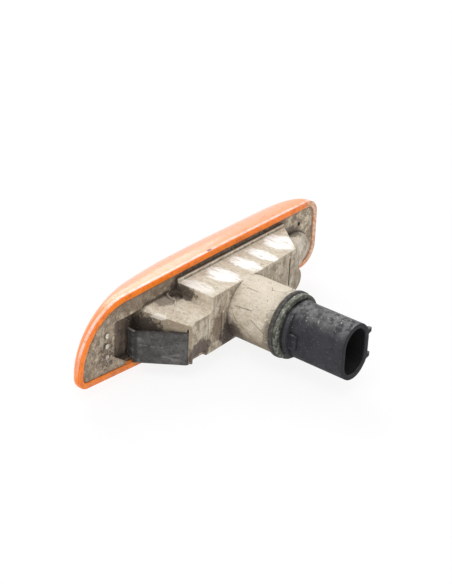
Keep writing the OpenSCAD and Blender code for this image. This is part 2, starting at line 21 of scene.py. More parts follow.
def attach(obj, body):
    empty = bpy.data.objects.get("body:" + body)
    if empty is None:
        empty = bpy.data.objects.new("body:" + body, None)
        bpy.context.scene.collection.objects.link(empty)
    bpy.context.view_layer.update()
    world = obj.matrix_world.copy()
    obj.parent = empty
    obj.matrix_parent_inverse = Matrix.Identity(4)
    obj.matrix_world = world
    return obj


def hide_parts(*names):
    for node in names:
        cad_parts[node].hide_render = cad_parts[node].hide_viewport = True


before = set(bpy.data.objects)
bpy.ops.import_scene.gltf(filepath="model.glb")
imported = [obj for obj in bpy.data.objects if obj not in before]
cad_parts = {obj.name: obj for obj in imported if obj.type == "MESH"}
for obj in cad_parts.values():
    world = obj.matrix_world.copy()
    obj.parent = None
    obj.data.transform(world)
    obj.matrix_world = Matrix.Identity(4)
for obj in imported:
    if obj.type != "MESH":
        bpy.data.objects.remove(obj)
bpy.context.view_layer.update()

MM = 0.001
TINY = 1e-20
WHITE = (1.0, 1.0, 1.0, 1.0)
log = logging.getLogger("side_repeater")


class Body(Enum):
    """The CAD bodies that pieces ride on."""

    LAMP = "lamp"
    HOLDER = "holder"
    CLIP = "clip"


# ---- Shared helpers ----


def linear(hex_colour: str) -> tuple[float, float, float, float]:
    """Turns an sRGB hex colour to linear.

    Args:
        hex_colour: The colour as "#RRGGBB".

    Returns:
        Linear red, green, blue and an alpha of 1.
    """
    srgb = np.array([int(hex_colour[i : i + 2], 16) for i in (1, 3, 5)]) / 255
    # The sRGB standard's curve: a straight foot, and a power above it
    low = srgb / 12.92
    high = ((srgb + 0.055) / 1.055) ** 2.4
    r, g, b = np.where(srgb <= 0.04045, low, high)
    return float(r), float(g), float(b), 1.0


def add(
    tree: NodeTree,
    kind: str,
    sockets: dict | None = None,
    out: int | str = 0,
    **settings: Any,
) -> Any:
    """Adds a node with its settings and links.

    Args:
        tree: The node tree to add to.
        kind: The node's type name.
        sockets: Input name or number to a value, or to the output socket that feeds it.
        out: Name or number of the output that is wanted.
        settings: Properties of the node itself.

    Returns:
        That output socket, or the node itself where it has none.
    """
    node = tree.nodes.new(kind)
    for name, value in settings.items():
        setattr(node, name, value)
    for name, value in (sockets or {}).items():
        if isinstance(value, NodeSocket):
            tree.links.new(value, node.inputs[name])
        else:
            node.inputs[name].default_value = value
    return node.outputs[out] if node.outputs else node


def combined(tree: NodeTree, operation: str, *values: Any) -> Any:
    """Combines several values in a row of maths nodes.

    Args:
        tree: The node tree.
        operation: The maths node's operation, such as "MULTIPLY".
        values: Sockets or numbers.

    Returns:
        The last node's socket, or the value itself where there is only one.
    """
    total = values[0]
    for value in values[1:]:
        total = add(tree, "ShaderNodeMath", {0: total, 1: value}, operation=operation)
    return total


def looked_at(tree: NodeTree) -> Any:
    """Tells looks from light.

    Args:
        tree: The node tree.

    Returns:
        A socket, 1 for rays from the camera, off a gloss or through glass, and 0 for other rays.
    """
    kinds = ("Camera", "Glossy", "Transmission")
    rays = [add(tree, "ShaderNodeLightPath", out=f"Is {kind} Ray") for kind in kinds]
    return combined(tree, "MAXIMUM", *rays)


def placed(name: str, data: ID) -> Object:
    """Makes an object at the origin and links it to the scene.

    Args:
        name: The object's name.
        data: Its mesh, lamp or camera.

    Returns:
        The new object.
    """
    made = bpy.data.objects.new(name, data)
    bpy.context.scene.collection.objects.link(made)
    return made


def mesh_piece(
    name: str, points: np.ndarray, quads: np.ndarray, tris: np.ndarray | None = None
) -> Object:
    """Makes a smooth-shaded mesh object at the origin.

    Args:
        name: The piece's name.
        points: Vertex places in millimetres, one row each.
        quads: Vertex numbers of the four-sided faces, one row each.
        tris: Vertex numbers of the three-sided faces, one row each.

    Returns:
        The new object, linked to the scene.
    """
    tris = np.zeros((0, 3), int) if tris is None else tris
    loops = np.concatenate([quads.ravel(), tris.ravel()]).astype(np.int32)
    sizes = np.concatenate([np.full(len(quads), 4), np.full(len(tris), 3)]).astype(np.int32)
    mesh = bpy.data.meshes.new(name)
    mesh.vertices.add(len(points))
    mesh.vertices.foreach_set("co", (points * MM).astype(np.float32).ravel())
    mesh.loops.add(len(loops))
    mesh.loops.foreach_set("vertex_index", loops)
    mesh.polygons.add(len(sizes))
    starts = np.concatenate([[0], np.cumsum(sizes)[:-1]]).astype(np.int32)
    mesh.polygons.foreach_set("loop_start", starts)
    mesh.polygons.foreach_set("loop_total", sizes)
    mesh.polygons.foreach_set("use_smooth", np.ones(len(sizes), bool))
    mesh.update(calc_edges=True)
    mesh.validate()
    return placed(name, mesh)


def ring_faces(rings: int, around: int, closed: bool = False) -> np.ndarray:
    """Quads between rings of vertices that each close on themselves.

    Args:
        rings: Number of rings.
        around: Number of vertices in a ring.
        closed: Whether the last ring also joins the first.

    Returns:
        Vertex numbers of the quads, facing outwards where the rings run anticlockwise and rise.
    """
    j, i = np.meshgrid(np.arange(rings if closed else rings - 1), np.arange(around), indexing="ij")
    above, nxt = (j + 1) % rings, (i + 1) % around
    corners = [j * around + i, j * around + nxt, above * around + nxt, above * around + i]
    return np.stack(corners, -1).reshape(-1, 4)


def fan_faces(middle: int, ring_start: int, around: int, turned: bool = False) -> np.ndarray:
    """Triangles from a middle vertex to each side of a ring.

    Args:
        middle: The middle vertex's number.
        ring_start: Number of the ring's first vertex.
        around: Number of vertices in the ring.
        turned: Whether the triangles face the other way.

    Returns:
        Vertex numbers of the triangles.
    """
    i = ring_start + np.arange(around)
    nxt = ring_start + (np.arange(around) + 1) % around
    return np.stack([np.full(around, middle), *((nxt, i) if turned else (i, nxt))], 1)


def ride(piece: Object, body: Body, materials: list[Material], replaced: str) -> Object:
    """Dresses a piece and puts it on its body, in place of the CAD node that it stands for.

    Args:
        piece: The piece.
        body: The body that it moves with.
        materials: Its materials, in the order of its faces' numbers.
        replaced: Name of the CAD node that it stands for.

    Returns:
        The same piece.
    """
    for material in materials:
        piece.data.materials.append(material)
    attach(piece, body.value)
    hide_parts(replaced)
    log.info("piece %s on body %s, %d faces", piece.name, body.value, len(piece.data.polygons))
    return piece


def even_normals(mesh: Mesh, limit: float = 40.0) -> None:
    """Gives a triangle mesh shading normals that keep flat faces flat and roundings smooth.

    The normal at a face's corner is the sum of the normals of all faces round that vertex that turn
    less than the limit from it, each weighed by its area.

    Args:
        mesh: A mesh of triangles only.
        limit: Largest turn, in degrees, that is still shaded as one surface.
    """
    corners = np.empty(len(mesh.loops), np.int32)
    mesh.loops.foreach_get("vertex_index", corners)
    points = np.empty(len(mesh.vertices) * 3)
    mesh.vertices.foreach_get("co", points)
    tri = points.reshape(-1, 3)[corners.reshape(-1, 3)]
    cross = np.cross(tri[:, 1] - tri[:, 0], tri[:, 2] - tri[:, 0])
    area = np.linalg.norm(cross, axis=1)
    normal = cross / np.maximum(area, TINY)[:, None]
    face = np.repeat(np.arange(len(area)), 3)
    order = np.argsort(corners, kind="stable")
    count = np.bincount(corners, minlength=len(mesh.vertices))
    rank = np.arange(len(corners)) - np.repeat(np.cumsum(count) - count, count)
    around = np.full((len(mesh.vertices), count.max()), -1)
    around[corners[order], rank] = face[order]
    near = around[corners]
    turn = np.einsum("ijk,ik->ij", normal[near], normal[face])
    weight = area[near] * (near >= 0) * (turn > math.cos(math.radians(limit)))
    total = np.einsum("ij,ijk->ik", weight, normal[near])
    total /= np.maximum(np.linalg.norm(total, axis=1), TINY)[:, None]
    mesh.normals_split_custom_set(total.tolist())


DOUBLED_MM = 0.1
FLAT_DEGREES = 0.6
SHARP_DEGREES = 32
SHORTEST_EDGE_MM = 0.4


def softened(
    node: str, name: str, width: float, rounded: Callable[[np.ndarray], np.ndarray], segments: int = 3
) -> Object:
    """Copies a CAD node's shape and rounds its outside edges.

    The copy's doubled vertices are merged and its flat faces joined, so that each real edge is one
    edge. Every edge that stands out sharply, isn't very short and lies where rounding is wanted gets a
    rounding of even width.

    Args:
        node: The CAD node's name.
        name: The new piece's name.
        width: Width of the rounding in millimetres.
        rounded: Tells which of an array of points, in millimetres, lie where rounding is wanted.
        segments: Number of faces across the rounding.

    Returns:
        The new object, linked to the scene.
    """
    shape = bmesh.new()
    shape.from_mesh(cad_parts[node].data)
    bmesh.ops.remove_doubles(shape, verts=shape.verts, dist=DOUBLED_MM * MM)
    flat, sharp = math.radians(FLAT_DEGREES), math.radians(SHARP_DEGREES)
    bmesh.ops.dissolve_limit(shape, angle_limit=flat, verts=shape.verts, edges=shape.edges)
    edges = [
        e for e in shape.edges if len(e.link_faces) == 2 and e.is_convex and e.calc_face_angle() > sharp
    ]
    ends = np.array([[v.co[:] for v in e.verts] for e in edges]) / MM
    length = np.linalg.norm(ends[:, 0] - ends[:, 1], axis=1)
    wanted = rounded(ends[:, 0]) & rounded(ends[:, 1]) & (length > SHORTEST_EDGE_MM)
    chosen = [e for e, keep in zip(edges, wanted) if keep]
    geometry = chosen + list({v for e in chosen for v in e.verts})
    bmesh.ops.bevel(
        shape, geom=geometry, offset=width * MM, offset_type="OFFSET", segments=segments, profile=0.5,
        affect="EDGES", clamp_overlap=False, loop_slide=True,
    )
    bmesh.ops.triangulate(shape, faces=shape.faces)
    mesh = bpy.data.meshes.new(name)
    shape.to_mesh(mesh)
    shape.free()
    mesh.polygons.foreach_set("use_smooth", np.ones(len(mesh.polygons), bool))
    even_normals(mesh)
    mesh.materials.clear()
    return placed(name, mesh)


# ---- Finishes ----


class Along(Enum):
    """The axes of the shared frame, as outputs of a separated vector."""

    X = 0
    Y = 1
    Z = 2


class Skin:
    """A material built up in layers on Object coordinates, as dirt and wear build up on a surface."""

    cloud_roughness: float = 0.6
    sky_samples: int = 8

    def __init__(self, name: str, ground: str) -> None:
        """Starts an empty material.

        Args:
            name: The material's name.
            ground: Colour of the clean surface, as sRGB hex.
        """
        self.material = bpy.data.materials.new(name)
        self.material.use_nodes = True
        self.tree = self.material.node_tree
        self.tree.nodes.clear()
        self.place = add(self.tree, "ShaderNodeTexCoord", out="Object")
        self.facing = add(self.tree, "ShaderNodeTexCoord", out="Normal")
        self.colour: Any = linear(ground)
        self.normal: Any = None

    def share(self, value: Any, start: float, end: float) -> Any:
        """Turns a value to a smooth share, 0 at the start and 1 at the end."""
        ends = {"Value": value, "From Min": start, "From Max": end}
        return add(self.tree, "ShaderNodeMapRange", ends, interpolation_type="SMOOTHSTEP")

    def zone(self, axis: Along, start_mm: float, end_mm: float) -> Any:
        """Share of the surface past a place along an axis, from 0 at the start to 1 at the end."""
        value = add(self.tree, "ShaderNodeSeparateXYZ", {0: self.place}, out=axis.value)
        return self.share(value, start_mm * MM, end_mm * MM)

    def facing_zone(self, axis: Along, start: float, end: float) -> Any:
        """Share of the surface that faces along an axis, from 0 at one slope to 1 at another."""
        value = add(self.tree, "ShaderNodeSeparateXYZ", {0: self.facing}, out=axis.value)
        return self.share(value, start, end)

    def clouds(
        self, size_mm: float, stretch: tuple = (1, 1, 1), seed: float = 0.0, detail: float = 4.0
    ) -> Any:
        """Cloudy noise with clouds of a real size.

        Args:
            size_mm: Size of a cloud in millimetres.
            stretch: Scale along each axis, less than 1 to draw clouds out.
            seed: Shift that gives another pattern.
            detail: Number of finer layers.

        Returns:
            The pattern's socket, about 0.3 to 0.7.
        """
        shift = {"Vector": self.place, "Scale": stretch, "Location": (seed, -seed, seed)}
        moved = add(self.tree, "ShaderNodeMapping", shift)
        inputs = {"Vector": moved, "Scale": 1 / (size_mm * MM), "Detail": detail}
        return add(self.tree, "ShaderNodeTexNoise", inputs | {"Roughness": self.cloud_roughness})

    def blotches(self, size_mm: float, over: float = 0.5, soft: float = 0.06, **kwargs: Any) -> Any:
        """Share that is 1 where noise of a real size rises over a level; see clouds()."""
        return self.share(self.clouds(size_mm, **kwargs), over - soft, over + soft)

    def spot(
        self,
        centre_mm: tuple,
        radii_mm: tuple,
        ragged: float = 0.35,
        grain_mm: float = 1.6,
        edge: float = 0.35,
    ) -> Any:
        """Share of a soft round or long spot with a ragged edge.

        Args:
            centre_mm: The spot's middle.
            radii_mm: Its reach along X, Y and Z.
            ragged: How far its edge wanders, as a share of its radius.
            grain_mm: Size of the wanderings.
            edge: Width of its soft edge, as a share of its radius.

        Returns:
            The share's socket.
        """
        centre, radii = tuple(c * MM for c in centre_mm), tuple(r * MM for r in radii_mm)
        size = {"Vector": self.place, "Location": centre, "Scale": radii}
        local = add(self.tree, "ShaderNodeMapping", size, vector_type="TEXTURE")
        far = add(self.tree, "ShaderNodeVectorMath", {0: local}, out="Value", operation="LENGTH")
        # The clouds lie about 0.5, so four times them adds about two times the raggedness
        grain = {0: self.clouds(grain_mm, seed=centre_mm[0]), 1: 4 * ragged, 2: far}
        wander = add(self.tree, "ShaderNodeMath", grain, operation="MULTIPLY_ADD")
        rim = 1 + 2 * ragged
        return self.share(wander, rim + edge / 2, rim - edge / 2)

    def corners(self, reach_mm: float, open_share: float = 0.75, shut_share: float = 0.3) -> Any:
        """Share of the surface shut in by what is near it, where dirt gathers and shade falls, so that
        paint laid by it is partly painted shade.

        Args:
            reach_mm: How near a thing has to be.
            open_share: Share of open sky where the result is 0.
            shut_share: Share of open sky where it is 1.

        Returns:
            The share's socket.
        """
        reach = {"Distance": reach_mm * MM}
        sky = add(self.tree, "ShaderNodeAmbientOcclusion", reach, out="AO", samples=self.sky_samples)
        return self.share(sky, open_share, shut_share)

    def all_of(self, *shares: Any) -> Any:
        """The product of several shares or numbers."""
        return combined(self.tree, "MULTIPLY", *shares)

    def any_of(self, *shares: Any) -> Any:
        """The largest of several shares."""
        return combined(self.tree, "MAXIMUM", *shares)

    def paint(self, colour: str, *shares: Any) -> None:
        """Lays a colour over the layers below, where all the shares meet."""
        layers = {0: self.all_of(*shares), 6: self.colour, 7: linear(colour)}
        self.colour = add(self.tree, "ShaderNodeMix", layers, out=2, data_type="RGBA")

    def emboss(self, height: Any, depth_mm: float) -> None:
        """Raises the surface by a pattern.

        Args:
            height: The pattern, from 0 to 1.
            depth_mm: Real depth from 0 to 1.
        """
        inputs = {"Height": height, "Distance": depth_mm * MM}
        if self.normal is not None:
            inputs["Normal"] = self.normal
        self.normal = add(self.tree, "ShaderNodeBump", inputs)

    def finish(self, **constants: Any) -> Material:
        """Ends the material in one surface.

        Args:
            constants: Inputs of the surface, with _ in place of a space.

        Returns:
            The finished material.
        """
        inputs = {"Base Color": self.colour} | {k.replace("_", " "): v for k, v in constants.items()}
        if self.normal is not None:
            inputs["Normal"] = self.normal
        surface = add(self.tree, "ShaderNodeBsdfPrincipled", inputs)
        add(self.tree, "ShaderNodeOutputMaterial", {0: surface})
        return self.material


@dataclass(frozen=True)
class AmberAcrylicCrown:
    """Amber acrylic, injection moulded and polished: a film of fine dust pales it at a slant."""

    ground: str = "#F78B46"
    mottled: str = "#FA9850"
    front: str = "#E4701C"
    dust_tint: tuple = (1.0, 0.91, 0.92, 1.0)
    light_reach_m: tuple = (0.004, 0.0015, 0.0004)

    def make(self) -> Material:
        """Makes the material.

        Returns:
            The new material.
        """
        s = Skin("amber_acrylic_polished", self.ground)
        s.paint(self.mottled, s.blotches(12.0, 0.5, 0.12), 0.4)
        # Painted shade: seen straight on, the faces that look forward are painted a deeper orange, for
        # the dark light box seen through them
        s.paint(self.front, s.facing_zone(Along.Y, 0.5, 0.92), 0.85)
        s.emboss(s.clouds(9.0, detail=2), 0.04)
        return s.finish(
            Roughness=s.share(s.clouds(3.0), -0.6, 2.3), IOR=1.49,
            Subsurface_Weight=0.1, Subsurface_Radius=self.light_reach_m, Subsurface_Scale=1.0,
            Sheen_Weight=0.9, Sheen_Roughness=0.38, Sheen_Tint=self.dust_tint,
            Coat_Weight=0.2, Coat_Roughness=0.08, Coat_IOR=1.5,
        )


@dataclass(frozen=True)
class AmberAcrylicRim:
    """Amber acrylic, injection moulded: deep orange on its back edge, its side wall painted pale for
    scuffing and a highlight line.
    """

    deep: str = "#FF8206"
    scuffed_and_highlit: str = "#F1D2C8"
    soiled: str = "#D8C4AE"
    wall_mm: tuple = (0.25, 0.5)
    face_mm: tuple = (0.6, 0.1)
    light_reach_m: tuple = (0.003, 0.001, 0.0003)

    def make(self) -> Material:
        """Makes the material.

        Returns:
            The new material.
        """
        s = Skin("amber_acrylic_edge", self.deep)
        s.paint("#E8700C", s.blotches(5.0, 0.52, 0.08), 0.45)
        # The side wall is painted pale, for scuffing and a painted highlight line, though not at the
        # swept end's foot, and has small nicks and one chip
        wall = s.zone(Along.Y, *self.wall_mm)
        scuff_and_highlight_zone = s.any_of(s.zone(Along.Z, -9, 5), s.zone(Along.X, 20, 50))
        s.paint(self.scuffed_and_highlit, wall, scuff_and_highlight_zone, s.blotches(2.2, 0.36, 0.14), 0.82)
        s.paint("#E99A70", wall, s.blotches(1.4, 0.57, 0.06, stretch=(0.4, 1, 0.4), seed=8.0), 0.6)
        s.paint("#8A5A3A", wall, s.blotches(0.7, 0.66, 0.02, seed=2.0), 0.4)
        s.paint("#5A4334", s.spot((-1.2, 1.1, 15.6), (1.3, 0.5, 1.5), 0.3, 0.8))
        # Road dirt at the blunt end and along the bottom of the back edge
        face = s.zone(Along.Y, *self.face_mm)
        s.paint(self.soiled, face, s.zone(Along.X, 50, 57), 0.8)
        s.paint("#A0805E", face, s.zone(Along.X, 44, 60), s.blotches(1.4, 0.52), 0.7)
        s.paint("#C58451", face, s.zone(Along.Z, -6, -13), s.blotches(2.5, 0.46, 0.1), 0.55)
        s.paint("#8A5A2E", face, s.blotches(0.6, 0.65, 0.03, seed=4.0), 0.6)
        s.paint("#C4610F", face, s.blotches(0.9, 0.56, 0.05, stretch=(0.35, 1, 0.35), seed=9.0), 0.5)
        # Darker along the corner between the two
        corner = s.all_of(s.zone(Along.Y, 0.1, 0.2), s.zone(Along.Y, 0.6, 0.4))
        s.paint("#A85A38", corner, s.blotches(1.0, 0.45, 0.1, seed=6.0), 0.5)
        s.emboss(s.clouds(6.0, detail=2), 0.04)
        return s.finish(
            Roughness=s.share(s.clouds(3.0), -0.6, 2.0), IOR=1.49,
            Subsurface_Weight=0.15, Subsurface_Radius=self.light_reach_m, Subsurface_Scale=1.0,
        )


@dataclass(frozen=True)
class DustyAbs:
    """Beige-grey ABS, injection moulded and aged: matt and dusty, with grime and painted shade in its
    corners and hollows, and painted light and highlights on some faces.

    The stripes are the painted highlights on the box top: X and Y of the middle, then reach along each.
    """

    ground: str = "#D0C5B3"
    grime_and_shade: str = "#40362C"
    brown: str = "#6B5745"
    painted_highlight_white: str = "#FCFBF8"
    plate_mm: tuple = (-0.9, 0.1)
    marks_mm: tuple = (4.1, 0.2, -3.9)
    tube_mm: tuple = (-17.0, -19.0)
    crack_cell_mm: float = 8.0
    stripes_mm: tuple = (
        (-16.9, -7.0, 3.0, 6.4),
        (-5.1, -8.2, 4.1, 6.4),
        (6.6, -8.8, 3.1, 6.2),
        (16.0, -8.9, 2.8, 6.4),
        (27.6, -7.4, 4.9, 5.8),
    )

    def plate(self, s: Skin) -> None:
        """The backplate: greyer, mottled with dirt, darkened with painted shade behind the box and in
        the clip's pocket.

        Args:
            s: The moulding's skin.
        """
        on_plate = s.zone(Along.Y, *self.plate_mm)
        s.paint("#AB9880", on_plate, 0.85)
        s.paint("#D2C4AA", on_plate, s.zone(Along.X, 36, 46), 0.8)
        s.paint("#6A5E50", on_plate, s.blotches(2.4, 0.5, 0.05, seed=3.0), 0.6)
        s.paint("#D2C6B2", on_plate, s.blotches(2.0, 0.56, 0.05, seed=7.0), 0.55)
        s.paint("#3E342B", on_plate, s.blotches(0.8, 0.6, 0.03, seed=8.0), 0.7)
        # Dark strip over the box, and painted shade at the bottom of the plate's groove
        strip_ends = s.all_of(s.zone(Along.X, -24, -16), s.zone(Along.X, 44, 36))
        strip = s.all_of(on_plate, s.zone(Along.Z, 10.8, 11.6), strip_ends)
        s.paint("#463B32", strip, s.blotches(2.6, 0.38, 0.1), 0.9)
        s.paint("#40352F", s.zone(Along.Y, 0.9, 1.6), 0.9)
        # Swept end: dirt in patches, and three raised marks in a column with rubbed pale tops
        patch = s.spot((-52.4, 0.4, -3.0), (4.4, 2.0, 5.0), 0.5, 1.2)
        s.paint("#3A2F28", on_plate, patch, s.blotches(1.2, 0.48, 0.05, seed=21.0), 0.85)
        s.paint("#6E5F50", on_plate, s.spot((-38.0, 0.4, 12.0), (14.0, 2.0, 3.4), 0.4, 2.0), 0.6)
        # Painted shade with grime: the plate darkened where the rim, the box and the block shut it in
        s.paint("#3B3026", on_plate, s.corners(1.3, 0.98, 0.82), 0.85)
        for z in self.marks_mm:
            s.paint("#E4DFD2", s.spot((-53.0, 0.0, z), (1.0, 0.5, 1.0), 0.1, 0.8), 0.85)
        s.paint("#7B6E66", s.spot((-45.5, 4.2, 2.0), (2.0, 1.5, 4.4)), s.zone(Along.Y, 2.5, 4.0), 0.6)

    def spots_of_dirt_and_shade(self, s: Skin) -> None:
        """Dirt, paler patches, painted shade and a painted highlight where the photograph shows them:
        centre, reach, colour and strength.

        Args:
            s: The moulding's skin.
        """
        for centre, reach, colour, strength in (
            ((-25.5, -2.2, 8.0), (6.5, 2.8, 2.4), self.grime_and_shade, 0.6),
            # Painted shade in the corner under the box's left wall and in the hollow behind the clip
            ((-20.4, -3.0, 8.8), (2.0, 6.0, 2.8), "#372D25", 0.85),
            ((-36.5, -1.5, -1.0), (4.2, 7.0, 6.4), "#342B25", 0.92),
            # Paler patches on the block's edge and top
            ((-33.9, -5.2, 5.6), (1.4, 4.0, 1.0), "#E9E2D6", 0.7),
            ((-32.0, -12.6, 8.2), (3.4, 5.0, 2.0), "#E6DDCE", 0.8),
            ((-26.5, -9.6, 8.2), (5.0, 4.0, 1.6), "#E0D6C6", 0.7),
            # Painted shade in the notch under the block
            ((-25.3, -16.2, -7.5), (5.6, 2.5, 4.6), "#43342F", 0.85),
            ((-15.5, -16.2, -1.5), (3.4, 2.5, 5.5), self.brown, 0.7),
            # Painted shade beside the tube's root
            ((-10.5, -15.8, -6.5), (4.0, 3.0, 5.5), "#352C2A", 0.85),
            # Painted shade low on the right end, a painted highlight on its rounded top, and painted
            # shade where it meets the plate
            ((33.0, -9.0, -6.0), (6.0, 6.0, 4.5), "#6E6256", 0.35),
            ((41.5, -4.0, 4.5), (4.0, 4.0, 4.5), "#E6DCCB", 0.6),
            ((44.0, 0.0, 5.5), (5.0, 3.0, 3.4), "#544A40", 0.7),
        ):
            s.paint(colour, s.spot(centre, reach), strength)

    def make(self) -> Material:
        """Makes the material.

        Returns:
            The new material.
        """
        s = Skin("abs_moulded_dusty", self.ground)
        # Tones of the aged moulding, all over
        s.paint("#BFB29D", s.blotches(8.0, 0.5, 0.1), 0.5)
        s.paint("#DED5C5", s.blotches(5.0, 0.54, 0.06, seed=5.0), 0.5)
        s.paint("#B4A279", s.blotches(3.2, 0.56, 0.05, seed=9.0), 0.25)
        s.paint("#9C8F7B", s.blotches(0.7, 0.52, 0.05, stretch=(1, 0.3, 1), seed=1.5), 0.35)
        self.plate(s)
        # Back wall: streaks that run down
        back = s.facing_zone(Along.Y, -0.6, -0.9)
        s.paint("#8C7B68", back, s.blotches(1.5, 0.5, 0.09, stretch=(1, 1, 0.25), seed=2.2), 0.5)
        s.paint(self.brown, back, s.blotches(2.6, 0.55, 0.05, seed=6.0), 0.5)
        # Painted shade on the clip pocket's side wall: browner than the block's top
        s.paint("#85755F", s.facing_zone(Along.X, -0.75, -0.85), s.zone(Along.X, -26, -28), 0.75)
        self.spots_of_dirt_and_shade(s)
        # Painted shade and grime in every corner, darker still in the tightest ones
        s.paint(self.grime_and_shade, s.corners(4.5, 0.72, 0.3), s.blotches(2.4, 0.42, 0.14), 0.85)
        s.paint("#2E261F", s.corners(1.2, 0.7, 0.35), 0.75)
        # Tube: dirty end, painted light on its top, painted shade with dirt on its underside and at its
        # root, hairline cracks drawn a little coarse
        tube = s.zone(Along.Y, *self.tube_mm)
        s.paint("#5D5245", tube, s.zone(Along.Y, -29.5, -33.0), s.blotches(2.0, 0.45, 0.08), 0.85)
        s.paint("#D6CBB9", tube, s.facing_zone(Along.Z, 0.2, 0.8), 0.6)
        s.paint("#857560", tube, s.facing_zone(Along.Z, 0.1, -0.7), 0.7)
        s.paint("#41342B", s.spot((-9.9, -18.2, -5.8), (3.8, 4.2, 5.4), 0.3, 2.0, 0.8), 0.9)
        s.paint("#75664F", tube, s.spot((-8.4, -24.0, -7.6), (3.4, 8.0, 3.0), 0.5, 1.6, 0.8), 0.6)
        cells = {"Vector": s.place, "Scale": 1 / (self.crack_cell_mm * MM)}
        far = add(s.tree, "ShaderNodeTexVoronoi", cells, feature="DISTANCE_TO_EDGE")
        s.paint("#6E604E", s.share(far, 0.028, 0.01), tube, s.blotches(8.0, 0.52, 0.04, seed=11.0), 0.7)
        # Specks
        s.paint("#6A5C4C", s.blotches(0.55, 0.63, 0.04, seed=12.0), 0.6)
        s.paint("#4A3E33", s.blotches(1.1, 0.67, 0.03, seed=13.0), 0.7)
        s.paint("#EAE3D6", s.blotches(0.6, 0.67, 0.03, seed=14.0), 0.55)
        # Painted highlights: near-white patches across the box top, streaked along Y
        top = s.all_of(s.zone(Along.Z, 10.7, 10.95), s.zone(Along.Z, 11.6, 11.3))
        spots = [
            s.spot((x, y, 11.1), (rx, ry, 6.0), 0.25, 2.0, 0.45) for x, y, rx, ry in self.stripes_mm
        ]
        streaks = s.blotches(0.6, 0.4, 0.1, stretch=(1, 0.12, 1), detail=3)
        s.paint(self.painted_highlight_white, s.any_of(*spots[1:]), top, streaks, 0.93)
        s.paint(self.painted_highlight_white, spots[0], top, streaks, 0.5)
        s.emboss(s.clouds(0.5), 0.05)
        s.emboss(s.clouds(2.2, detail=3), 0.08)
        return s.finish(Roughness=s.share(s.clouds(3.0), -1.2, 1.4), IOR=1.54)


@dataclass(frozen=True)
class CharcoalNylon:
    """Charcoal nylon, injection moulded: satin, with pale dust where it faces up and specks of dirt."""

    ground: str = "#2F2F34"
    dust: str = "#8C8C8A"
    flange_mm: tuple = ((-37.1, -36.8), (-35.0, -35.2))
    mouth_mm: tuple = (-60.35, -60.6)

    def make(self) -> Material:
        """Makes the material.

        Returns:
            The new material.
        """
        s = Skin("nylon_moulded_dusty", self.ground)
        s.paint("#3B3B40", s.blotches(6.0), 0.5)
        s.paint(self.dust, s.facing_zone(Along.Z, 0.35, 1.0), s.blotches(2.6, 0.47, 0.12), 0.55)
        # Greenish dirt rubbed into the flange
        flange = s.all_of(*(s.zone(Along.Y, *ends) for ends in self.flange_mm))
        s.paint("#686A5E", flange, s.blotches(2.0, 0.44, 0.08, seed=2.0), 0.85)
        s.paint("#A6A797", flange, s.blotches(0.9, 0.57, 0.06, stretch=(0.6, 1, 0.6), seed=5.0), 0.6)
        s.paint("#33302A", flange, s.blotches(1.1, 0.58, 0.04, seed=6.0), 0.7)
        # Pale and grey specks
        up = s.facing_zone(Along.Z, 0.3, 0.9)
        s.paint("#E4E2DC", up, s.blotches(0.8, 0.66, 0.02, seed=3.0), 0.65)
        s.paint("#8F8B82", s.blotches(0.6, 0.665, 0.02, seed=4.0), 0.7)
        # Painted shade: the plug socket's inside is painted near black, being too deep for light to
        # reach; its mouth is darker, and shut-in corners get painted shade with dirt
        inside = s.spot((0.0, -54.0, 0.0), (6.5, 900.0, 9.7), 0.0, 2.0, 0.06)
        s.paint("#070708", inside, s.zone(Along.Y, -60.5, -60.0), 0.95)
        s.paint("#1D1D20", s.zone(Along.Y, *self.mouth_mm), 0.75)
        s.paint("#161517", s.corners(1.5, 0.75, 0.4), 0.7)
        s.emboss(s.clouds(0.35, detail=3), 0.03)
        return s.finish(Roughness=s.share(s.clouds(2.6), -1.4, 1.2), IOR=1.53, Specular_IOR_Level=0.3)


@dataclass(frozen=True)
class BlackenedSpringSteel:
    """Spring steel strip, bent and blackened: dull, with pale scuffs along its length."""

    ground: str = "#555453"

    def make(self) -> Material:
        """Makes the material.

        Returns:
            The new material.
        """
        s = Skin("spring_steel_blackened", self.ground)
        s.paint("#3C3B3B", s.blotches(3.4, 0.5, 0.09), 0.7)
        s.paint("#6C6A67", s.blotches(3.4, 0.52, 0.12, stretch=(0.5, 0.5, 1.0), seed=1.7), 0.45)
        s.paint("#8A8883", s.blotches(1.4, 0.6, 0.05, stretch=(0.3, 0.3, 1.0), seed=3.1), 0.45)
        s.paint("#2B2A2A", s.zone(Along.Z, -0.2, 1.2), s.blotches(1.8, 0.45), 0.6)
        s.paint("#2A2726", s.blotches(0.8, 0.6, 0.04, seed=6.4), 0.6)
        # Painted shade as a dark line in the bend, and a painted highlight on the foot's top edge
        s.paint("#1F1E1E", s.zone(Along.Y, -1.9, -1.2), s.zone(Along.Y, -0.1, -0.7), 0.7)
        s.paint("#A19E98", s.zone(Along.Y, -1.0, -0.4), s.zone(Along.Z, 0.75, 1.15), 0.75)
        s.emboss(s.clouds(0.7), 0.03)
        s.emboss(s.clouds(4.0, detail=2), 0.12)
        return s.finish(Metallic=0.45, Roughness=s.share(s.clouds(2.0), -1.0, 1.6))


